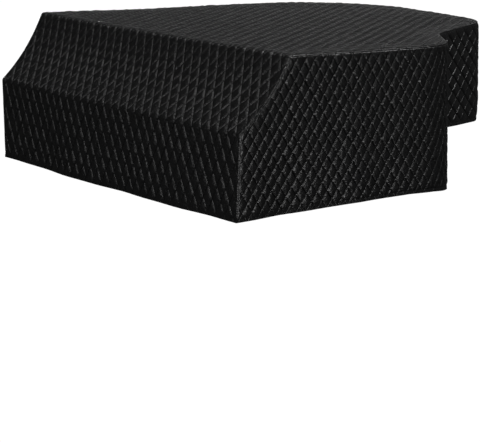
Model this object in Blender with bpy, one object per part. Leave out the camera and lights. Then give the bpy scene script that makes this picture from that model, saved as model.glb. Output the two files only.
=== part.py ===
"""Fitted quilted cover for a baby grand piano, in the shape in which it hangs over the closed piano.

Four sheets of quilted cloth, each a closed solid and a node of its own, 0.3 mm apart:
main_panel   one length of cloth: the top, the sagging slope over the fall and the front drop
treble_side  the deep skirt under the right edge, from the front corner to just past the cheek
tail_skirt   the short skirt along the bentside, round the tail and along the spine
bass_side    the deep skirt under the left edge, back to where the short skirt ends

X runs from bass to treble, Y from keyboard to tail and Z up. The origin is on the underside of the
top, in the middle of the box round the piano. The cover is hollow and open below.
"""

from collections import namedtuple

import bpy
import numpy as np

# Driving dimensions, in metres.
THICK = 0.003  # quilted cloth, face to back
GAP = 0.0003  # between two pieces
HALF_WIDTH = 0.765  # of the top, seam to seam
FRONT_Y = -0.775  # outer face of the front drop
LID_Y = -0.601  # fold between the top and the slope
FOLD_Z = -0.2275  # fold between the slope and the front drop
SLOPE_SAG = 0.016  # how far the slope hangs in from its chord
FOLD_RADIUS = 0.012
STEP_PAST_CHEEK = 0.14  # from the cheek's corner to the end of the deep skirt
TAPER = 0.068  # the walls lean in by this much of their depth at the front corners
FLARE = 0.02  # and out by this much round the cheek and the tail
TAPER_FROM_Y = -0.65  # from here back to TAPER_TO_Y the one turns into the other
TAPER_TO_Y = -0.05

# Unevenness of the hung cloth.
SWING = 0.004  # how far a wall swings in or out at the deep hem
SWING_DEPTH = 0.5  # depth at which it swings that far
SWELL_ALONG_Y = 0.43  # length of one swell along the side walls
SWELL_ALONG_X = 0.57  # length of one swell along the front and tail walls
SWELL_START = 0.8  # where in a swell the middle of the cover lies, in radians
RIPPLE = 0.4  # share of a swell that its ripples add
RIPPLES = 2.3  # ripples in one swell
HEM_DIP = 0.002  # how far the hem sags in the middle of the front and tail
HEM_TILT = 0.0025  # the front hem hangs lower on the left and higher on the right
SPINE_LIFT = 0.006  # the top rides up at the left front corner
LIFT_REACH = 0.30  # how far that lift reaches along X
LIFT_FROM_Y = -0.60  # from here back to LIFT_TO_Y it fades away
LIFT_TO_Y = -0.10

# How finely the sheets are cut into facets.
ARC_STEP = np.radians(9)
STATION_STEP = 0.032  # along a wall's seam
WALL_ROWS = 5
DROP_ROWS = 6
SLOPE_ROWS = 8
TOP_ROWS = 48
PANEL_COLUMNS = 12

# Corners of the seam line round the top, anticlockwise from the front right.
Corner = namedtuple("Corner", "x y radius")
PLAN = {
    "front_treble": Corner(HALF_WIDTH, LID_Y, 0.0),
    "cheek": Corner(HALF_WIDTH, 0.044, 0.20),
    "waist": Corner(0.473, 0.239, 0.28),
    "tail_treble": Corner(0.203, 0.696, 0.275),
    "tail_bass": Corner(-HALF_WIDTH, 0.823, 0.42),
    "front_bass": Corner(-HALF_WIDTH, LID_Y, 0.0),
}

# Heights of the hems from the front of the cover to its back.
Hem = namedtuple("Hem", "y z")
DEEP_HEM = (
    Hem(FRONT_Y, -0.508),
    Hem(-0.55, -0.498),
    Hem(-0.36, -0.485),
    Hem(-0.12, -0.474),
    Hem(-0.02, -0.475),
    Hem(0.09, -0.484),
    Hem(0.15, -0.488),
)
TAIL_HEM = (
    Hem(0.15, -0.329),
    Hem(0.35, -0.334),
    Hem(0.60, -0.350),
)

Cloth = namedtuple("Cloth", "colour roughness")
CLOTHS = {
    "main_panel": Cloth((0.018, 0.018, 0.019), 0.72),
    "treble_side": Cloth((0.016, 0.016, 0.017), 0.74),
    "tail_skirt": Cloth((0.015, 0.015, 0.016), 0.74),
    "bass_side": Cloth((0.016, 0.016, 0.017), 0.74),
}


def clear_scene():
    for obj in list(bpy.data.objects):
        bpy.data.objects.remove(obj)


def unit(vector):
    return vector / np.linalg.norm(vector)


def rounded(corners):
    """Points of a line through the corners, with an arc in place of each corner that has a radius."""
    places = [np.array(corner[:2]) for corner in corners]
    points = [places[0]]
    for before, corner, after in zip(places, corners[1:-1], places[2:]):
        here = np.array(corner[:2])
        coming, going = unit(here - before), unit(after - here)
        side = np.sign(coming[0] * going[1] - coming[1] * going[0])
        turn = np.arccos(np.clip(coming @ going, -1, 1))
        if corner.radius == 0 or turn < 1e-6:
            points.append(here)
            continue
        start = here - coming * corner.radius * np.tan(turn / 2)
        inward = side * np.array([-coming[1], coming[0]])
        for angle in np.linspace(0, turn, int(np.ceil(turn / ARC_STEP)) + 1):
            points.append(start + corner.radius * (np.sin(angle) * coming + (1 - np.cos(angle)) * inward))
    points.append(places[-1])
    return np.array(points)


def lengths_along(points):
    steps = np.linalg.norm(np.diff(points, axis=0), axis=1)
    return np.concatenate([[0], np.cumsum(steps)])


def at_lengths(points, lengths):
    along = lengths_along(points)
    return np.stack([np.interp(lengths, along, points[:, axis]) for axis in range(2)], axis=1)


def outward(points):
    """Unit normals to the right of a line: outward on an anticlockwise outline."""
    tangent = np.gradient(points, axis=0)
    tangent /= np.linalg.norm(tangent, axis=1)[:, None]
    return np.stack([tangent[:, 1], -tangent[:, 0]], axis=1)


def front_profile():
    """Outer face of the main panel from the front hem up to the lid's edge, as points (y, z)."""
    fold, lid = np.array([FRONT_Y, FOLD_Z]), np.array([LID_Y, THICK])
    chord = lid - fold
    inward = np.array([chord[1], -chord[0]]) / np.linalg.norm(chord)
    share = np.linspace(0, 1, SLOPE_ROWS + 1)[1:-1, None]
    slope = fold + share * chord + SLOPE_SAG * 4 * share * (1 - share) * inward
    drop_z = np.linspace(DEEP_HEM[0].z, FOLD_Z, DROP_ROWS + 1)[:-1]
    corners = [Corner(FRONT_Y, z, 0.0) for z in drop_z]
    corners.append(Corner(*fold, FOLD_RADIUS))
    corners.extend(Corner(*point, 0.0) for point in slope)
    corners.append(Corner(*lid, FOLD_RADIUS))
    corners.append(Corner(LID_Y + 2 * FOLD_RADIUS, THICK, 0.0))
    return rounded(corners)[:-1]


def fade(y, start, end):
    """1 up to start, 0 from end on, and a smooth step between them."""
    share = np.clip((end - y) / (end - start), 0, 1)
    return share**2 * (3 - 2 * share)


def lean(y, z):
    """How far a wall stands in from its seam: in at the front corners, out round the cheek and tail."""
    front = fade(y, TAPER_FROM_Y, TAPER_TO_Y)
    return np.clip(-z, 0, None) * (TAPER * front - FLARE * (1 - front))


def hem_z(hem, x, y):
    """Height of a hem: through its table, sagging in the middle of the front and tail, and tilted."""
    table = np.interp(y, [row.y for row in hem], [row.z for row in hem])
    sag = HEM_DIP * np.cos(np.pi / 2 * x / HALF_WIDTH)
    return table - sag + HEM_TILT * x / HALF_WIDTH


def swell(distance, length):
    """A long swell with smaller ripples on it."""
    turn = 2 * np.pi * distance / length
    return np.sin(turn + SWELL_START) + RIPPLE * np.sin(RIPPLES * turn)


def hang(points):
    """The cover's unevenness, one smooth field for every piece, so that the gaps stay as they are."""
    x, y, z = np.moveaxis(points, -1, 0)
    swing = SWING * (np.clip(-z, 0, None) / SWING_DEPTH) ** 2
    lift = SPINE_LIFT * np.exp(-(((x + HALF_WIDTH) / LIFT_REACH) ** 2)) * fade(y, LIFT_FROM_Y, LIFT_TO_Y)
    return np.stack(
        [x + swing * swell(y, SWELL_ALONG_Y), y + swing * swell(x, SWELL_ALONG_X), z + lift], axis=-1
    )


def sheet(name, outer, inner):
    """A closed sheet between two grids of points, hung with the rest of the cover."""
    rows, columns = outer.shape[:2]
    count = rows * columns
    points = hang(np.concatenate([outer.reshape(-1, 3), inner.reshape(-1, 3)]))
    index = np.arange(count).reshape(rows, columns)
    a, b, c, d = index[:-1, :-1], index[:-1, 1:], index[1:, 1:], index[1:, :-1]
    face = np.stack([a, b, c, d], axis=-1).reshape(-1, 4)
    back = face[:, ::-1] + count
    rim = np.concatenate([index[0, :-1], index[:-1, -1], index[-1, :0:-1], index[:0:-1, 0]])
    following = np.roll(rim, -1)
    edge = np.stack([following, rim, rim + count, following + count], axis=-1)
    faces = np.concatenate([face, back, edge])

    mesh = bpy.data.meshes.new(name)
    mesh.from_pydata(points.tolist(), [], faces.tolist())
    mesh.validate()
    mesh.shade_smooth()
    mesh.set_sharp_from_angle(angle=np.radians(40))
    mesh.materials.append(cloth_material(name, CLOTHS[name]))
    obj = bpy.data.objects.new(name, mesh)
    bpy.context.scene.collection.objects.link(obj)
    return obj


def cloth_material(name, cloth):
    material = bpy.data.materials.new(name + "_cloth")
    material.use_nodes = True
    shader = material.node_tree.nodes["Principled BSDF"]
    shader.inputs["Base Color"].default_value = (*cloth.colour, 1)
    shader.inputs["Roughness"].default_value = cloth.roughness
    shader.inputs["Metallic"].default_value = 0.0
    return material


def main_panel():
    """Rows run across the cover, from the front hem over the slope and the top to the tail."""
    profile = front_profile()
    normal = -outward(profile)
    reach = HALF_WIDTH - lean(profile[:, 0], profile[:, 1])
    share = np.linspace(-1, 1, PANEL_COLUMNS + 1)
    x = share * reach[:, None]
    y = np.broadcast_to(profile[:, :1], x.shape)
    z = np.array(np.broadcast_to(profile[:, 1:], x.shape))
    z[0] = hem_z(DEEP_HEM, x[0], y[0])
    front = np.stack([x, y, z], axis=-1)
    shift = np.stack([np.zeros(len(profile)), normal[:, 0], normal[:, 1]], axis=-1)
    front_inner = front - THICK * shift[:, None]

    lid_y = profile[-1, 0]
    right = rounded([PLAN[n] for n in ("front_treble", "cheek", "waist", "tail_treble", "tail_bass")])[:-1]
    left = rounded([PLAN[n] for n in ("front_bass", "tail_bass", "tail_treble")])[:-1]
    right[0, 1] = left[0, 1] = lid_y
    rows = np.linspace(0, 1, TOP_ROWS + 1)[1:]
    right = at_lengths(right, rows * lengths_along(right)[-1])
    left = at_lengths(left, rows * lengths_along(left)[-1])
    weight = ((share + 1) / 2)[None, :, None]
    plan = left[:, None] * (1 - weight) + right[:, None] * weight
    top = np.concatenate([plan, np.full((*plan.shape[:2], 1), THICK)], axis=-1)
    top_inner = top - np.array([0, 0, THICK])
    return sheet("main_panel", np.concatenate([front, top]), np.concatenate([front_inner, top_inner]))


def wall(name, seam, seam_z, hem):
    """A skirt: columns along the seam, rows from the seam down to the hem, leaning in with depth."""
    normal = outward(seam)
    share = np.linspace(0, 1, WALL_ROWS + 1)[:, None]
    z = seam_z * (1 - share) + hem_z(hem, seam[:, 0], seam[:, 1]) * share
    xy = seam - lean(seam[:, 1], z)[..., None] * normal
    outer = np.concatenate([xy, z[..., None]], axis=-1)
    inner = outer - THICK * np.concatenate([normal, np.zeros((len(seam), 1))], axis=1)
    return sheet(name, outer[::-1], inner[::-1])


def side_front():
    """Seam of the right side below the main panel's slope: its points (x, y) and their heights."""
    profile = front_profile()
    under = profile + outward(profile) * (THICK + GAP)
    under = under[DROP_ROWS:]
    return np.stack([np.full(len(under), HALF_WIDTH), under[:, 0]], axis=1), under[:, 1]


def skirts():
    """The three skirts, cut from one seam line that runs round the top from right front to left front."""
    outline = rounded(list(PLAN.values()))
    along = lengths_along(outline)
    front, front_z = side_front()
    lid_y = front[-1, 1]
    start = lid_y - LID_Y
    cheek = PLAN["cheek"].y - LID_Y
    deep_end = cheek + STEP_PAST_CHEEK
    step_y = at_lengths(outline, [deep_end])[0, 1]
    spine_end = along[-1] - (step_y - LID_Y)

    def stretch(first, last):
        count = int(np.ceil((last - first) / STATION_STEP)) + 1
        return at_lengths(outline, np.linspace(first, last, count))

    treble = np.concatenate([front, stretch(start, deep_end)[1:]])
    treble_z = np.concatenate([front_z, np.full(len(treble) - len(front), -GAP)])
    wall("treble_side", treble, treble_z, DEEP_HEM)

    tail = stretch(deep_end + GAP, spine_end - GAP)
    wall("tail_skirt", tail, np.full(len(tail), -GAP), TAIL_HEM)

    mirror = np.array([-1, 1])
    spine = stretch(spine_end, along[-1] - start)
    bass = np.concatenate([spine[:-1], (front * mirror)[::-1]])
    bass_z = np.concatenate([np.full(len(spine) - 1, -GAP), front_z[::-1]])
    wall("bass_side", bass, bass_z, DEEP_HEM)


clear_scene()
main_panel()
skirts()
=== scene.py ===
"""Looks of the fitted quilted cover for a baby grand piano.

Each of its four sheets is a thin closed sheet of diamond quilting, cut flat, then carried onto the
shape in which it hangs. A point of a flat sheet is (across, along) in metres: across and up the front
for the main panel, round the piano and up for the skirts. The quilting lines are two families of
parallel lines; the mesh has its points on them, so that each groove is a real groove.
"""

from collections import namedtuple

import bpy
import numpy as np
from mathutils import Matrix, Vector, geometry


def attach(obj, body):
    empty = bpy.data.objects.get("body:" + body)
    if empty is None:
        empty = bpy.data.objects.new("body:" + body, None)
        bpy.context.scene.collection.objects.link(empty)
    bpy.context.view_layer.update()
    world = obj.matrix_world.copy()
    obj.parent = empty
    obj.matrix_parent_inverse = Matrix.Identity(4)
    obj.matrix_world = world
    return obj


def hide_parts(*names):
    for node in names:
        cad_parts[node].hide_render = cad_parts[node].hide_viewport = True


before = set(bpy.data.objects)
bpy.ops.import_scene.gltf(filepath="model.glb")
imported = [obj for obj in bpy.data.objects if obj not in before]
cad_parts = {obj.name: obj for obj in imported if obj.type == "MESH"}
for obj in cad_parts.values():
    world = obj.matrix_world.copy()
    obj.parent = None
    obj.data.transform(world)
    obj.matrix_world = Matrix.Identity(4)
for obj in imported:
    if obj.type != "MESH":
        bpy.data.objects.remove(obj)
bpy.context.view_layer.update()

# ---------------------------------------------------------------- sizes of the hung cover, in metres
THICK = 0.003  # of a sheet
GAP = 0.0003  # between two sheets that meet
HALF_WIDTH = 0.765
FRONT_Y = -0.775  # of the front drop
LID_Y = -0.601  # of the front edge of the top
FOLD_Z = -0.2275  # of the fold between drop and slope
SLOPE_SAG = 0.016
SLOPE_POINTS = 40
FOLD_RADIUS = 0.012
FOLD_ROOM = 1.6  # stretch beside a fold that keeps free of the slope's points, in its radii
OVERRUN = 1.1  # how far the profile runs, as a share of the way to the hem and to the tail
LID_ROOM = 0.02  # how far behind the lid's edge the seam below the slope is still looked up
STEP_PAST_CHEEK = 0.14  # from the cheek's corner to the step in the hem
TAPER = 0.068  # lean inward of the walls at the front, for each metre down
FLARE = 0.02  # and outward round the cheek and tail
TAPER_FROM_Y = -0.65  # where the one begins to give way to the other
TAPER_TO_Y = -0.05
SWING = 0.004  # of a wall
SWING_DEPTH = 0.5  # at this depth
SWELL_ALONG_Y = 0.43  # length of the swing's waves
SWELL_ALONG_X = 0.57
SWELL_START = 0.8  # in radians
RIPPLE = 0.4  # height of the ripples as a share of the swell
RIPPLES = 2.3  # how many of them to a swell
HEM_DIP = 0.002  # in the middle of the front and of the tail
HEM_TILT = 0.0025  # up to the right, over half the width
CORNER_LIFT = 0.006  # of the top at its front left corner
LIFT_REACH = 0.30
LIFT_FROM_Y = -0.60
LIFT_TO_Y = -0.10
ARC_STEP = np.radians(3)

Corner = namedtuple("Corner", "x y radius")
PLAN = {
    "front_treble": Corner(HALF_WIDTH, LID_Y, 0.0),
    "cheek": Corner(HALF_WIDTH, 0.044, 0.20),
    "waist": Corner(0.473, 0.239, 0.28),
    "tail_treble": Corner(0.203, 0.696, 0.275),
    "tail_bass": Corner(-HALF_WIDTH, 0.823, 0.42),
    "front_bass": Corner(-HALF_WIDTH, LID_Y, 0.0),
}

Hem = namedtuple("Hem", "y z")
DEEP_HEM = (
    Hem(FRONT_Y, -0.508),
    Hem(-0.55, -0.498),
    Hem(-0.36, -0.485),
    Hem(-0.12, -0.474),
    Hem(-0.02, -0.475),
    Hem(0.09, -0.484),
    Hem(0.15, -0.488),
)
TAIL_HEM = (
    Hem(0.15, -0.329),
    Hem(0.35, -0.334),
    Hem(0.60, -0.350),
)

# ---------------------------------------------------------------- quilting
# A diamond's width and height, the lean of the columns of diamonds, the rise of their rows, and a
# place where two quilting lines cross.
Quilt = namedtuple("Quilt", "width height lean rise across along")
PANEL_WIDTH = 0.0483  # of the main panel's diamonds
DROP_HEIGHT = 0.0873  # of its diamonds on the front drop,
SLOPE_HEIGHT = 0.0704  # on the slope
TOP_HEIGHT = 0.0570  # and on the top
DROP_LEAN = -0.060  # the columns lean to the right going up the drop
SLOPE_BOW = 0.0155  # and bow to the left in the middle of the slope
PANEL_CROSSING = (-0.7693, -0.3842)  # x and height of a crossing on the drop
SKIRT_QUILTS = {
    "treble_side": Quilt(0.0375, 0.056, 0.032, 0.055, 0.5125, -0.199),
    "tail_skirt": Quilt(0.090, 0.056, 0.0, 0.0, 0.0, -0.015),
    "bass_side": Quilt(0.0375, 0.056, 0.0, 0.0, 0.0, -0.015),
}
PUFF = 0.0048  # how far the wadding stands up in the middle of a diamond
SHOULDER = 0.0040  # how quickly it rises beside a quilting line
PUFF_SPREAD = 0.22  # how much the diamonds differ
EDGE_SHOULDER = 0.006  # how quickly the cloth rises beside a seam
EDGE_ROLL = 0.009  # width of the plain roll along a seam
PILLOW = 0.003  # how much the diamonds of the top, where nothing pulls at them, bulge as well
BULGE_REACH = 0.08  # from a seam
HEM_WIDTH = 0.012  # of the plain band along a hem
HEM_PUFF = 0.0016  # how far it stands up
HEM_SHOULDER = 0.0016
PUCKER = 0.0005  # small puckers in the cloth
PUCKER_SIZE = 0.011
SLACK = 0.0012  # broad slackness
SLACK_SIZE = 0.13
SEEDS = {"main_panel": 11, "treble_side": 20, "tail_skirt": 30, "bass_side": 40}
GRID = 64  # cells each way before the random numbers repeat

# ---------------------------------------------------------------- points of the meshes, in metres
EDGE_STEP = 0.004  # between the points of an outline
SEAM_STEP = 0.003  # and of the line on which the skirts are sewn
HEM_POINTS = 40  # of the outlines before they are evened out
SIDE_POINTS = 120
SKIRT_POINTS = 400
TABLE_POINTS = 20001  # of the table that turns rows of diamonds into lengths
TABLE_MARGIN = 1.0
SEAM_ROWS = (0.002, 0.0045, 0.008)  # rows of points inside a seam
HEM_ROWS = (0.0015, 0.006, 0.0105, 0.012, 0.0135)
CLEARANCE = 0.0022  # from those rows to the first points of the quilting
ROW_SHARE = 0.97  # of its depth that each point of a row keeps from every edge
FINE = (0.0, 0.06, 0.14, 0.27, 0.5, 0.73, 0.86, 0.94)  # points between two lines of the skirts
PANEL_FINE = (0.0, 0.08, 0.22, 0.5, 0.78, 0.92)  # and of the main panel
COARSE = (0.0, 0.5)  # and on the back of each sheet
SAME_POINT = 1e-7
STRAIGHT = 1e-6  # a turn, in radians, too small for an arc
TINY = 1e-12  # keeps the share along a segment finite where its ends meet
SHARP_ANGLE = np.radians(62)  # folds past it, such as the rims, stay crisp


# ---------------------------------------------------------------- lines and shapes
def unit(vector):
    return vector / np.linalg.norm(vector)


def rounded(corners, arc_step=ARC_STEP):
    """Points of a line through the corners, with an arc in place of each corner that has a radius."""
    places = [np.array(corner[:2]) for corner in corners]
    points = [places[0]]
    for before, corner, after in zip(places, corners[1:-1], places[2:]):
        here = np.array(corner[:2])
        coming, going = unit(here - before), unit(after - here)
        side = np.sign(coming[0] * going[1] - coming[1] * going[0])
        turn = np.arccos(np.clip(coming @ going, -1, 1))
        if corner.radius == 0 or turn < STRAIGHT:
            points.append(here)
            continue
        start = here - coming * corner.radius * np.tan(turn / 2)
        inward = side * np.array([-coming[1], coming[0]])
        for angle in np.linspace(0, turn, int(np.ceil(turn / arc_step)) + 1):
            bend = np.sin(angle) * coming + (1 - np.cos(angle)) * inward
            points.append(start + corner.radius * bend)
    points.append(places[-1])
    return np.array(points)


def lengths_along(points):
    steps = np.linalg.norm(np.diff(points, axis=0), axis=1)
    return np.concatenate([[0], np.cumsum(steps)])


def at_lengths(points, lengths):
    along = lengths_along(points)
    return np.stack([np.interp(lengths, along, points[:, axis]) for axis in range(2)], axis=-1)


def resampled(points, step=EDGE_STEP):
    """The same line with even steps, its first and last points kept."""
    length = lengths_along(points)[-1]
    return at_lengths(points, np.linspace(0, length, max(2, int(np.ceil(length / step)) + 1)))


def right_of(points):
    """Unit normals to the right of a line."""
    tangent = np.gradient(points, axis=0)
    tangent /= np.linalg.norm(tangent, axis=1)[:, None]
    return np.stack([tangent[:, 1], -tangent[:, 0]], axis=1)


def fade(y, start, end):
    """1 up to start, 0 from end on, and a smooth step between them."""
    share = np.clip((end - y) / (end - start), 0, 1)
    return share**2 * (3 - 2 * share)


def lean(y, z):
    """How far a wall stands in from its seam: in at the front corners, out round the cheek and tail."""
    front = fade(y, TAPER_FROM_Y, TAPER_TO_Y)
    return np.clip(-z, 0, None) * (TAPER * front - FLARE * (1 - front))


def hem_z(hem, x, y):
    """Height of a hem: through its table, sagging in the middle of the front and tail, and tilted."""
    table = np.interp(y, [row.y for row in hem], [row.z for row in hem])
    return table - HEM_DIP * np.cos(np.pi / 2 * x / HALF_WIDTH) + HEM_TILT * x / HALF_WIDTH


def swell(distance, length):
    """A long swell with smaller ripples on it."""
    turn = 2 * np.pi * distance / length
    return np.sin(turn + SWELL_START) + RIPPLE * np.sin(RIPPLES * turn)


def hang(points):
    """The cover's unevenness: walls swing with the square of their depth, one top corner is lifted."""
    x, y, z = np.moveaxis(points, -1, 0)
    swing = SWING * (np.clip(-z, 0, None) / SWING_DEPTH) ** 2
    near_left = np.exp(-(((x + HALF_WIDTH) / LIFT_REACH) ** 2))
    lift = CORNER_LIFT * near_left * fade(y, LIFT_FROM_Y, LIFT_TO_Y)
    return np.stack(
        [x + swing * swell(y, SWELL_ALONG_Y), y + swing * swell(x, SWELL_ALONG_X), z + lift], axis=-1
    )


def front_profile():
    """Outer face of the main panel from below its hem to the tail, as points (y, z)."""
    fold, lid = np.array([FRONT_Y, FOLD_Z]), np.array([LID_Y, THICK])
    chord = lid - fold
    inward = np.array([chord[1], -chord[0]]) / np.linalg.norm(chord)
    share = np.linspace(0, 1, SLOPE_POINTS + 1)[1:-1, None]
    slope = fold + share * chord + SLOPE_SAG * 4 * share * (1 - share) * inward
    slope = slope[np.minimum(share, 1 - share)[:, 0] * np.linalg.norm(chord) > FOLD_ROOM * FOLD_RADIUS]
    corners = [Corner(FRONT_Y, OVERRUN * DEEP_HEM[0].z, 0.0), Corner(*fold, FOLD_RADIUS)]
    corners.extend(Corner(*point, 0.0) for point in slope)
    corners.extend([Corner(*lid, FOLD_RADIUS), Corner(OVERRUN * PLAN["tail_bass"].y, THICK, 0.0)])
    return rounded(corners)


PROFILE = front_profile()
PROFILE_LENGTHS = lengths_along(PROFILE)


def up_profile(y, z):
    """Length along the profile up to its point nearest to (y, z)."""
    gap = (PROFILE[:, 0] - y) ** 2 + (PROFILE[:, 1] - z) ** 2
    return PROFILE_LENGTHS[gap.argmin()]


FOLD_AT = up_profile(FRONT_Y, FOLD_Z)
LID_AT = up_profile(LID_Y, THICK)
# Length along the profile at which the flat top has LID_Y.
LID_END = PROFILE_LENGTHS[-1] - OVERRUN * PLAN["tail_bass"].y + LID_Y
SKIRT_LINE = rounded(
    [Corner(HALF_WIDTH, FRONT_Y + THICK + GAP, 0.0)]
    + [PLAN[name] for name in ("cheek", "waist", "tail_treble", "tail_bass")]
    + [Corner(-HALF_WIDTH, FRONT_Y + THICK + GAP, 0.0)]
)
SKIRT_LINE = resampled(SKIRT_LINE, SEAM_STEP)
SKIRT_LENGTHS = lengths_along(SKIRT_LINE)
SKIRT_NORMALS = right_of(SKIRT_LINE)


def panel_place(flat):
    """Main panel: across is X, and along runs up the profile in Y and Z."""
    y, z = (np.interp(flat[:, 1], PROFILE_LENGTHS, PROFILE[:, axis]) for axis in (0, 1))
    return np.stack([flat[:, 0], y, z], axis=1)


def skirt_place(flat):
    """A skirt: across runs round the seam line, along is Z, and the wall leans in or out with depth."""
    xy, normal = (
        np.stack([np.interp(flat[:, 0], SKIRT_LENGTHS, table[:, axis]) for axis in (0, 1)], axis=1)
        for table in (SKIRT_LINE, SKIRT_NORMALS)
    )
    xy = xy - lean(xy[:, 1], flat[:, 1])[:, None] * normal
    return np.concatenate([xy, flat[:, 1:]], axis=1)


def facing(place, flat, reach=0.0025):
    """Outward unit normals of a placed sheet: the cross product of its two directions."""
    across, along = np.array([reach, 0]), np.array([0, reach])
    normal = np.cross(
        place(flat + across) - place(flat - across), place(flat + along) - place(flat - along)
    )
    return normal / np.linalg.norm(normal, axis=1)[:, None]


# ---------------------------------------------------------------- quilting lines
def panel_columns(along):
    """How far the main panel's columns stand to the left: less going up the drop, a bow on the slope."""
    share = np.clip((along - FOLD_AT) / (LID_AT - FOLD_AT), 0, 1)
    return DROP_LEAN * np.minimum(along - FOLD_AT, 0) + SLOPE_BOW * 4 * share * (1 - share)


def panel_rows(along):
    """Rows of diamonds up to a length along the profile, each as high as its part of the panel has."""
    drop = np.minimum(along, FOLD_AT) / DROP_HEIGHT
    slope = np.clip(along - FOLD_AT, 0, LID_AT - FOLD_AT) / SLOPE_HEIGHT
    return drop + slope + np.clip(along - LID_AT, 0, None) / TOP_HEIGHT


CROSSING_AT = up_profile(FRONT_Y, PANEL_CROSSING[1])


def panel_lines(flat):
    """The two line counts of the main panel: columns plus rows, and columns minus rows."""
    column = flat[:, 0] - PANEL_CROSSING[0] + panel_columns(flat[:, 1]) - panel_columns(CROSSING_AT)
    row = panel_rows(flat[:, 1]) - panel_rows(CROSSING_AT)
    return np.stack([column / PANEL_WIDTH + row, column / PANEL_WIDTH - row], axis=1)


def panel_flat(lines):
    """The flat point at two line counts of the main panel: the inverse of panel_lines."""
    rows = (lines[:, 0] - lines[:, 1]) / 2 + panel_rows(CROSSING_AT)
    table = np.linspace(-TABLE_MARGIN, PROFILE_LENGTHS[-1] + TABLE_MARGIN, TABLE_POINTS)
    along = np.interp(rows, panel_rows(table), table)
    column = (lines[:, 0] + lines[:, 1]) / 2 * PANEL_WIDTH
    across = column + PANEL_CROSSING[0] - panel_columns(along) + panel_columns(CROSSING_AT)
    return np.stack([across, along], axis=1)


def skirt_lines(quilt):
    """The two line counts of a skirt, whose columns lean and whose rows rise evenly."""
    def lines(flat):
        across, along = flat[:, 0] - quilt.across, flat[:, 1] - quilt.along
        column = (across + quilt.lean * along) / quilt.width
        row = (along - quilt.rise * across) / quilt.height
        return np.stack([column + row, column - row], axis=1)
    return lines


def skirt_flat(quilt):
    """The inverse of skirt_lines."""
    def flat(lines):
        column = (lines[:, 0] + lines[:, 1]) / 2 * quilt.width
        row = (lines[:, 0] - lines[:, 1]) / 2 * quilt.height
        along = (row + quilt.rise * column) / (1 + quilt.rise * quilt.lean)
        return np.stack([column - quilt.lean * along + quilt.across, along + quilt.along], axis=1)
    return flat


def from_lines(lines_of, flat, reach=0.001):
    """Distance of each flat point from the nearest line of each family, and its two line counts."""
    lines = lines_of(flat)
    steps = reach * np.eye(2)
    slopes = [(lines_of(flat + step) - lines_of(flat - step)) / (2 * reach) for step in steps]
    density = np.hypot(*slopes)
    return np.abs(lines - np.round(lines)) / density, lines


# ---------------------------------------------------------------- unevenness
def random_grid(seed):
    return np.random.default_rng(seed).uniform(-1, 1, (GRID, GRID))


def mottle(points, size, seed):
    """Smooth noise from -1 to 1: random numbers on a square grid, blended by smooth steps."""
    grid = random_grid(seed)
    place = points / size
    cell = np.floor(place).astype(int)
    share = place - cell
    share = share**2 * (3 - 2 * share)
    (left, front), (right, back) = (cell % GRID).T, ((cell + 1) % GRID).T
    near = grid[left, front] * (1 - share[:, 0]) + grid[right, front] * share[:, 0]
    far = grid[left, back] * (1 - share[:, 0]) + grid[right, back] * share[:, 0]
    return near * (1 - share[:, 1]) + far * share[:, 1]


def rise(distance, shoulder):
    """0 at a stitched line and nearly 1 past its shoulder: one less a falling exponential."""
    return 1 - np.exp(-np.clip(distance, 0, None) / shoulder)


def simplified(line, turn_step=np.radians(1.5)):
    """The points of a line where it has turned by another step, with its first and last points."""
    step = np.diff(line, axis=0)
    turn = np.angle(np.exp(1j * np.diff(np.arctan2(step[:, 1], step[:, 0]))))
    turned = np.floor(np.cumsum(np.abs(turn)) / turn_step)
    keep = np.concatenate([[True], np.diff(turned, prepend=0) > 0, [True]])
    return line[keep]


def within(points, outline):
    """Whether each point is inside a closed outline: its crossings to the right are odd in number."""
    start, end = outline[:-1], outline[1:]
    crossed = np.zeros(len(points), bool)
    for (x0, y0), (x1, y1) in zip(start, end):
        spans = (points[:, 1] < y0) != (points[:, 1] < y1)
        if y0 != y1:
            crossed ^= spans & (points[:, 0] < x0 + (points[:, 1] - y0) * (x1 - x0) / (y1 - y0))
    return crossed


def distance_to(points, line, batch=20000):
    """Distance of each point from the nearest segment of a line."""
    start, step = line[:-1], np.diff(line, axis=0)
    squared = np.maximum((step**2).sum(axis=1), TINY)
    nearest = []
    for first in range(0, len(points), batch):
        gap = points[first : first + batch, None] - start
        share = np.clip((gap * step).sum(axis=2) / squared, 0, 1)
        nearest.append(np.sqrt(((gap - share[..., None] * step) ** 2).sum(axis=2).min(axis=1)))
    return np.concatenate(nearest)


def panel_bulge(flat):
    """How far the main panel's diamonds bulge: only behind the front edge of the top."""
    return PILLOW * (1 - fade(flat[:, 1], LID_AT, LID_AT + TOP_HEIGHT))


def skirt_bulge(flat):
    """The skirts are pulled straight by their weight, and bulge nowhere."""
    return np.zeros(len(flat))


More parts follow.
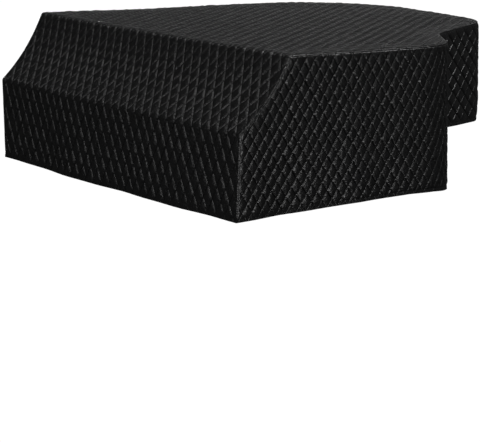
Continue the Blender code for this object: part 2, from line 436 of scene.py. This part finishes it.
def relief(flat, seam, hem, lines_of, bulge, seed):
    """Height of the outer face over the sheet: puffed diamonds, a roll at seams and a plain hem band."""
    apart, lines = from_lines(lines_of, flat)
    to_seam = distance_to(flat, seam)
    to_hem = distance_to(flat, hem)
    cell = np.floor(lines).astype(int) % GRID
    spread = random_grid(seed)[cell[:, 0], cell[:, 1]]
    diamond = rise(apart.min(axis=1), SHOULDER) * (1 + PUFF_SPREAD * spread)
    inward = 1 - np.exp(-((to_seam / BULGE_REACH) ** 2))
    diamond += bulge(flat) / PUFF * inward * np.abs(np.sin(np.pi * lines)).prod(axis=1)
    diamond *= rise(to_hem - HEM_WIDTH, SHOULDER)
    roll = np.exp(-((to_seam / EDGE_ROLL) ** 2)) * rise(to_hem - HEM_WIDTH, SHOULDER)
    height = PUFF * np.maximum(diamond, roll) * rise(to_seam, EDGE_SHOULDER)
    height += HEM_PUFF * rise(HEM_WIDTH - to_hem, HEM_SHOULDER)
    height += PUCKER * mottle(flat, PUCKER_SIZE, seed + 1) * rise(to_seam, EDGE_SHOULDER)
    slack = SLACK * mottle(flat, SLACK_SIZE, seed + 2)
    return height + slack * rise(to_seam, EDGE_ROLL) * rise(to_hem, EDGE_ROLL)


# ---------------------------------------------------------------- sheets
def closed_line(runs):
    """One closed outline from runs of flat points, anticlockwise, without the points that repeat.

    It is rounded to single precision, as the triangulation is, so that both agree on what is inside.
    """
    return np.concatenate([resampled(run)[:-1] for run in runs]).astype(np.float32).astype(float)


def inner_rows(ring, line, rows):
    """Rows of points inside a run of the closed outline, where no other run is nearer."""
    normal = right_of(line)
    points = np.concatenate([line - row * normal for row in rows])
    depth = np.repeat(rows, len(line))
    return points[within(points, ring) & (distance_to(points, ring) > ROW_SHARE * depth)]


def lattice(outline, steps, lines_of, flat_of, edge_clearance):
    """Flat points along the quilting lines inside an outline, and the pairs that lie on one line."""
    counts = lines_of(outline)
    low, high = np.floor(counts.min(axis=0)), np.ceil(counts.max(axis=0))
    knots = [(np.arange(a, b + 1)[:, None] + np.array(steps)).ravel() for a, b in zip(low, high)]
    first, second = np.meshgrid(*knots, indexing="ij")
    flat = flat_of(np.stack([first.ravel(), second.ravel()], axis=1))
    inside = ((flat > outline.min(axis=0)) & (flat < outline.max(axis=0))).all(axis=1)
    inside[inside] = edge_clearance(flat[inside])
    inside = inside.reshape(first.shape)
    number = np.full(first.shape, -1)
    number[inside] = np.arange(inside.sum())
    n = len(steps)
    down = np.stack([number[::n, :-1], number[::n, 1:]], axis=-1).reshape(-1, 2)
    over = np.stack([number[:-1, ::n], number[1:, ::n]], axis=-1).reshape(-1, 2)
    pairs = np.concatenate([down, over])
    return flat.reshape(*first.shape, 2)[inside], pairs[(pairs >= 0).all(axis=1)]


def triangles(outline, points, pairs):
    """Faces inside the outline through all the points: the outline's come first in their numbering."""
    count = len(outline)
    around = np.stack([np.arange(count), np.roll(np.arange(count), -1)], axis=1)
    edges = np.concatenate([around, pairs + count]).tolist()
    corners = [Vector(point) for point in np.concatenate([outline, points]).tolist()]
    _, _, found, origins, _, _ = geometry.delaunay_2d_cdt(corners, edges, [], 0, SAME_POINT, True)
    faces = np.array([origin[0] for origin in origins])[np.array(found)]
    doubtful = np.flatnonzero((faces < count).all(axis=1))  # only these can lie outside
    middles = outline[faces[doubtful]].mean(axis=1)
    outside = ~within(middles, np.concatenate([outline, outline[:1]]))
    return np.delete(faces, doubtful[outside], axis=0)


def sheet(name, runs, steps, place, lines_of, flat_of, bulge, seed):
    """A closed quilted sheet: a fine outer face, a plain back face and a rim that joins them."""
    outline = closed_line([points for _, points in runs])
    seams = [resampled(points) for kind, points in runs if kind == "seam"]
    hems = [resampled(points) for kind, points in runs if kind == "hem"]
    ring = simplified(np.concatenate([outline, outline[:1]]))
    seam = simplified(np.concatenate(seams))
    hem = simplified(np.concatenate(hems))
    rows = [inner_rows(ring, line, SEAM_ROWS) for line in seams]
    rows += [inner_rows(ring, line, HEM_ROWS) for line in hems]

    def clear(points):
        room = distance_to(points, ring) > SEAM_ROWS[-1] + CLEARANCE
        return within(points, ring) & room & (distance_to(points, hem) > HEM_ROWS[-1] + CLEARANCE)

    def roomy(points):
        return within(points, ring) & (distance_to(points, ring) > SEAM_ROWS[-1])

    quilting, pairs = lattice(outline, steps, lines_of, flat_of, clear)
    inner = np.concatenate(rows)
    front = np.concatenate([outline, inner, quilting])
    front_faces = triangles(outline, np.concatenate([inner, quilting]), pairs + len(inner))
    plain, _ = lattice(outline, COARSE, lines_of, flat_of, roomy)
    back = np.concatenate([outline, plain])
    back_faces = triangles(outline, plain, np.zeros((0, 2), int))[:, ::-1]

    height = relief(front, seam, hem, lines_of, bulge, seed)[:, None]
    outer = place(front) + height * facing(place, front)
    under = place(back) - THICK * facing(place, back)
    flat = np.concatenate([front, back])
    around = np.arange(len(outline))
    following = np.roll(around, -1)
    rim = np.stack([following, around, around + len(front), following + len(front)], axis=1)
    faces = front_faces.tolist() + (back_faces + len(front)).tolist() + rim.tolist()
    points = hang(np.concatenate([outer, under]))
    return build(name, points, faces, flat, lines_of(flat))


def build(name, points, faces, flat, lines):
    """A mesh object with two UV maps: cloth, the flat cut in metres, and quilting, its line counts."""
    mesh = bpy.data.meshes.new(name)
    mesh.from_pydata(points.tolist(), [], faces)
    mesh.validate()
    corner = np.zeros(len(mesh.loops), np.int32)
    mesh.loops.foreach_get("vertex_index", corner)
    for layer, values in (("cloth", flat), ("quilting", lines)):
        mesh.uv_layers.new(name=layer).data.foreach_set("uv", values[corner].astype(np.float32).ravel())
    mesh.shade_smooth()
    mesh.set_sharp_from_angle(angle=SHARP_ANGLE)
    piece = bpy.data.objects.new(name, mesh)
    bpy.context.scene.collection.objects.link(piece)
    return piece


def flat_area(outline):
    """Area of a flat outline, by the shoelace formula."""
    x, y = outline.T
    return 0.5 * abs(x @ np.roll(y, -1) - y @ np.roll(x, -1))


def cut_size(runs):
    """Width, length and area of a flat cut."""
    outline = closed_line([points for _, points in runs])
    width, length = (float(size) for size in np.ptp(outline, axis=0))
    return (width, length), float(flat_area(outline))


# ---------------------------------------------------------------- cuts
def panel_runs():
    """The main panel's outline: the front hem, its right side, round the top and down its left side."""
    bottom = HALF_WIDTH - lean(FRONT_Y, DEEP_HEM[0].z)
    x = np.linspace(-bottom, bottom, HEM_POINTS)
    hem = np.stack([x, FOLD_AT - FOLD_Z + hem_z(DEEP_HEM, x, FRONT_Y)], axis=1)
    right, left = (panel_side(side, end) for side, end in ((1, hem[-1]), (-1, hem[0])))
    top = rounded(list(PLAN.values()))
    top = np.stack([top[:, 0], top[:, 1] - LID_Y + LID_END], axis=1)
    top = top[top[:, 1] > LID_AT + EDGE_STEP]
    return [("hem", hem), ("seam", np.concatenate([right, top, left[::-1]]))]


def panel_side(side, end):
    """The main panel's edge from an end of its hem up to the lid: on the right for 1, left for -1."""
    along = np.linspace(end[1], LID_AT, SIDE_POINTS)
    placed = panel_place(np.stack([np.zeros(SIDE_POINTS), along], axis=1))
    edge = np.stack([side * (HALF_WIDTH - lean(placed[:, 1], placed[:, 2])), along], axis=1)
    edge[0] = end
    return edge


def slope_under(y):
    """Height of the seam below the slope at a place along Y, and below the top behind it."""
    normal = right_of(PROFILE)
    below = PROFILE + normal * (THICK + GAP)
    below = below[(PROFILE_LENGTHS > FOLD_AT - FOLD_RADIUS) & (below[:, 0] < LID_Y + LID_ROOM)]
    return np.interp(y, below[:, 0], below[:, 1])


def skirt_runs(first, last, hem):
    """A skirt's outline between two places on the seam line: hem, end, seam and other end."""
    across = np.linspace(first, last, SKIRT_POINTS)
    xy = at_lengths(SKIRT_LINE, across)
    lower = np.stack([across, hem_z(hem, xy[:, 0], xy[:, 1])], axis=1)
    upper = np.stack([across, np.where(xy[:, 1] < LID_Y, slope_under(xy[:, 1]), -GAP)], axis=1)[::-1]
    return [
        ("hem", lower),
        ("seam", np.stack([lower[-1], upper[0]])),
        ("seam", upper),
        ("seam", np.stack([upper[-1], lower[0]])),
    ]


def main_panel():
    runs = panel_runs()
    shape = (panel_place, panel_lines, panel_flat, panel_bulge)
    piece = sheet("main_panel_quilting", runs, PANEL_FINE, *shape, SEEDS["main_panel"])
    finish_piece(piece, "main_panel", "quilted_top", *cut_size(runs))
    return piece


def skirts():
    """The three skirts, which follow one seam line from the right front corner round to the left."""
    length = SKIRT_LENGTHS[-1]
    deep_end = PLAN["cheek"].y - SKIRT_LINE[0, 1] + STEP_PAST_CHEEK
    step_y = at_lengths(SKIRT_LINE, np.array([deep_end]))[0, 1]
    spine_end = length - (step_y - SKIRT_LINE[0, 1])
    cuts = {
        "treble_side": (0.0, deep_end, DEEP_HEM),
        "tail_skirt": (deep_end + GAP, spine_end - GAP, TAIL_HEM),
        "bass_side": (spine_end, length, DEEP_HEM),
    }
    pieces = []
    for node, cut in cuts.items():
        runs = skirt_runs(*cut)
        quilt = SKIRT_QUILTS[node]
        shape = (skirt_place, skirt_lines(quilt), skirt_flat(quilt), skirt_bulge)
        piece = sheet(node + "_quilting", runs, FINE, *shape, SEEDS[node])
        finish_piece(piece, node, "quilted_skirt", *cut_size(runs))
        pieces.append(piece)
    return pieces


def finish_piece(piece, node, slot, flat, area):
    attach(piece, "root")
    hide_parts(node)


# ---------------------------------------------------------------- cloth
# Blacks, then heights in metres, then how fine each pattern is on the flat cloth.
TOP_BLACK = (0.0020, 0.0020, 0.0021)
SKIRT_BLACK = (0.0018, 0.0018, 0.0019)
TOP_CRUMPLE = 0.0018
SKIRT_CRUMPLE = 0.0008
HANGING_CRUMPLE = 0.0018  # how much more the cloth crumples where it hangs than where it lies flat
GRAIN_HEIGHT = 0.00016
GROOVE_DEPTH = 0.0011
THREAD_HEIGHT = 0.0002
CRUMPLE_SCALE = 110.0
CRUMPLE_DETAIL = 3.0
GRAIN_SCALE = 900.0
CLOUD_SCALE = 22.0
NOISE_DETAIL = 2.0
GROOVE_FALL = 28.0  # how quickly a groove ends beside its line
STITCH_FALL = 60.0  # and the thread in it
STITCHES = 9.0  # to the side of a diamond
STITCH_SHARE = 0.36  # half of a stitch, as a share of the way to the next
# How much each pattern changes the colour, and the roughness.
# Clouds vary the tone at random; crumple and groove add painted shade, thread a painted sheen.
CLOUD_SHADE = 0.5
CRUMPLE_PAINTED_SHADE = 0.6
GROOVE_PAINTED_SHADE = 0.55
THREAD_PAINTED_SHEEN = 0.8
ROUGHNESS = 0.37
GRAIN_ROUGHNESS = 0.30
CLOUD_ROUGHNESS = 0.12
SHINE = 0.25
MIDDLE = 0.5  # of a noise, and half way between two quilting lines


class Wire:
    """A socket of a cloth's shader tree. Arithmetic on it adds Math nodes."""

    def __init__(self, cloth, socket):
        self.cloth, self.socket = cloth, socket

    def math(self, operation, *others):
        sockets = dict(enumerate((self, *others)))
        return self.cloth.node("ShaderNodeMath", "Value", {"operation": operation}, sockets)

    def __add__(self, other):
        return self.math("ADD", other)

    def __mul__(self, other):
        return self.math("MULTIPLY", other)

    def __sub__(self, other):
        return self.math("SUBTRACT", other)

    def __rsub__(self, other):
        return self * -1.0 + other

    __radd__, __rmul__ = __add__, __mul__


class Cloth:
    """A material's shader tree."""

    def __init__(self, name):
        self.material = bpy.data.materials.new(name)
        self.material.use_nodes = True
        self.tree = self.material.node_tree

    def connect(self, node, sockets):
        """Sets or links a node's sockets, given by name or number."""
        for key, value in sockets.items():
            if isinstance(value, Wire):
                self.tree.links.new(value.socket, node.inputs[key])
            else:
                node.inputs[key].default_value = value

    def node(self, kind, output, settings, sockets):
        """Adds a node: its type, the output that is wanted, its settings, then its sockets."""
        node = self.tree.nodes.new(kind)
        for key, value in settings.items():
            setattr(node, key, value)
        self.connect(node, sockets)
        return Wire(self, node.outputs[output])

    def noise(self, place, scale, detail=NOISE_DETAIL):
        sockets = {"Vector": place, "Scale": scale, "Detail": detail}
        return self.node("ShaderNodeTexNoise", "Fac", {}, sockets)


def quilted_cloth(name, base, crumpled):
    """Black polyester over wadding: a fine grain, sunk stitched lines and small crumples."""
    cloth = Cloth(name)
    place, lines = (
        cloth.node("ShaderNodeUVMap", "UV", {"uv_map": layer}, {}) for layer in ("cloth", "quilting")
    )
    first, second = (cloth.node("ShaderNodeSeparateXYZ", axis, {}, {"Vector": lines}) for axis in "XY")
    up = cloth.node("ShaderNodeSeparateXYZ", "Y", {}, {"Vector": place})
    near = [count.math("PINGPONG", MIDDLE) for count in (first, second)]  # 0 on a line
    nearest = near[0].math("MINIMUM", near[1])
    groove = (nearest * -GROOVE_FALL).math("EXPONENT")
    stitch = 1.0 - (nearest * STITCH_FALL).math("MINIMUM", 1.0)
    dash = ((first - second) * STITCHES).math("FRACT").math("COMPARE", MIDDLE, STITCH_SHARE)
    thread = stitch * dash

    crumple = cloth.noise(place, CRUMPLE_SCALE, CRUMPLE_DETAIL)
    grain = cloth.noise(place, GRAIN_SCALE)
    cloudy = cloth.noise(place, CLOUD_SCALE)
    creases = crumpled + up.math("LESS_THAN", float(LID_AT)) * HANGING_CRUMPLE
    height = crumple * creases + grain * GRAIN_HEIGHT - groove * GROOVE_DEPTH + thread * THREAD_HEIGHT
    bump = {"Height": height, "Distance": 1.0, "Strength": 1.0}
    # Random cloudy tone, and painted shade on the crumples: darker in hollows, lighter on crowns.
    shade = (cloudy - MIDDLE) * CLOUD_SHADE + (crumple - MIDDLE) * CRUMPLE_PAINTED_SHADE + 1.0
    # Painted shade darkens the grooves, and a painted sheen lightens the thread.
    scale = shade * (1.0 - groove * GROOVE_PAINTED_SHADE) + thread * THREAD_PAINTED_SHEEN
    tint = {"Vector": base, "Scale": scale}
    unevenness = (grain - MIDDLE) * GRAIN_ROUGHNESS + (cloudy - MIDDLE) * CLOUD_ROUGHNESS
    looks = {
        "Base Color": cloth.node("ShaderNodeVectorMath", "Vector", {"operation": "SCALE"}, tint),
        "Roughness": ROUGHNESS + unevenness,
        "Normal": cloth.node("ShaderNodeBump", "Normal", {}, bump),
        "Specular IOR Level": SHINE,
    }
    cloth.connect(cloth.tree.nodes["Principled BSDF"], looks)
    return cloth.material


# ---------------------------------------------------------------- studio
FLOOR_Z = -1.018  # the lid on which the cover rests is at 0
CAMERA_AT = (5.764, -4.316, 0.711)
CAMERA_TURN = (54.738, -11.119, 0.6875)  # yaw, pitch and roll, in degrees
LENS = 152.88
SENSOR = 36.0
FAR = 200.0  # how far the camera sees
FLOOR = 40.0  # half the width of the floor
FLOOR_GLOW = 1.05
# Azimuth, elevation, distance, size, power and aim of each soft light.
KEYS = {
    "treble_key": (-25, -11, 7.0, (1.8, 2.8), 450, (0.765, -0.35, -0.25)),
    "drop_key": (-84, 20, 7.0, (1.6, 1.6), 100, (0.0, -0.775, -0.38)),
    "corner_key": (-53, 14, 7.0, (1.2, 3.6), 290, (0.765, -0.7, -0.25)),
    "edge_key": (57, 58, 6.0, (1.5, 1.5), 400, (0.6, -0.2, 0.0)),
    "back_key": (143, 7, 6.0, (4.0, 1.0), 9.0, (0.0, 0.0, 0.0)),
    "spine_key": (158, -6, 7.0, (1.8, 2.8), 300, (-0.765, 0.0, -0.25)),
}
OVERHEAD = 1.45
OVERHEAD_ANGLE = np.radians(45)
SURROUND = 0.045
WHITE = (1.0, 1.0, 1.0, 1.0)
BLACK = (0.0, 0.0, 0.0, 1.0)


def camera():
    """The camera looks along (-sin yaw, cos yaw) turned down by the pitch, and is rolled about that."""
    yaw, pitch, roll = np.radians(CAMERA_TURN)
    ahead = Vector((-np.sin(yaw) * np.cos(pitch), np.cos(yaw) * np.cos(pitch), np.sin(pitch)))
    level = Vector((np.cos(yaw), np.sin(yaw), 0.0))
    above = level.cross(ahead)
    right = np.cos(roll) * level + np.sin(roll) * above
    up = -np.sin(roll) * level + np.cos(roll) * above
    turned = Matrix((right, up, -ahead)).transposed().to_4x4()
    data = bpy.data.cameras.new("camera")
    data.lens, data.sensor_width, data.clip_end = LENS, SENSOR, FAR
    seen = bpy.data.objects.new("camera", data)
    seen.matrix_world = Matrix.Translation(CAMERA_AT) @ turned
    bpy.context.scene.collection.objects.link(seen)
    bpy.context.scene.camera = seen


def softbox(name, azimuth, elevation, distance, size, power, middle):
    """A rectangular light, width by height, that looks at a point from a direction in degrees."""
    azimuth, elevation = np.radians([azimuth, elevation])
    away = Vector(
        (np.cos(azimuth) * np.cos(elevation), np.sin(azimuth) * np.cos(elevation), np.sin(elevation))
    )
    data = bpy.data.lights.new(name, "AREA")
    data.shape, data.size, data.size_y = "RECTANGLE", *size
    data.energy = power
    light = bpy.data.objects.new(name, data)
    light.location = Vector(middle) + distance * away
    light.rotation_euler = away.to_track_quat("Z", "Y").to_euler()
    bpy.context.scene.collection.objects.link(light)


def studio():
    """Soft lights round the cover, a dim surround and a white floor that only the camera sees."""
    camera()
    for name, key in KEYS.items():
        softbox(name, *key)
    overhead = bpy.data.objects.new("overhead", bpy.data.lights.new("overhead", "SUN"))
    overhead.data.energy, overhead.data.angle = OVERHEAD, OVERHEAD_ANGLE
    bpy.context.scene.collection.objects.link(overhead)
    world = bpy.data.worlds.new("studio")
    bpy.context.scene.world = world
    world.use_nodes = True
    world.node_tree.nodes["Background"].inputs["Color"].default_value = WHITE
    world.node_tree.nodes["Background"].inputs["Strength"].default_value = SURROUND
    bpy.context.scene.view_settings.view_transform = "Standard"

    mesh = bpy.data.meshes.new("floor")
    corners = [(-FLOOR, -FLOOR, FLOOR_Z), (FLOOR, -FLOOR, FLOOR_Z), (FLOOR, FLOOR, FLOOR_Z)]
    mesh.from_pydata(corners + [(-FLOOR, FLOOR, FLOOR_Z)], [], [(0, 1, 2, 3)])
    floor = bpy.data.objects.new("floor", mesh)
    floor.visible_glossy = floor.visible_diffuse = floor.visible_shadow = False
    bpy.context.scene.collection.objects.link(floor)
    paper = bpy.data.materials.new("paper")
    paper.use_nodes = True
    shader = paper.node_tree.nodes["Principled BSDF"]
    shader.inputs["Base Color"].default_value = BLACK
    shader.inputs["Specular IOR Level"].default_value = 0.0
    shader.inputs["Emission Color"].default_value = WHITE
    shader.inputs["Emission Strength"].default_value = FLOOR_GLOW
    floor.data.materials.append(paper)


# ---------------------------------------------------------------- the cover
studio()
top_cloth = quilted_cloth("quilted_top_cloth", TOP_BLACK, TOP_CRUMPLE)
skirt_cloth = quilted_cloth("quilted_skirt_cloth", SKIRT_BLACK, SKIRT_CRUMPLE)
main_panel().data.materials.append(top_cloth)
for skirt in skirts():
    skirt.data.materials.append(skirt_cloth)
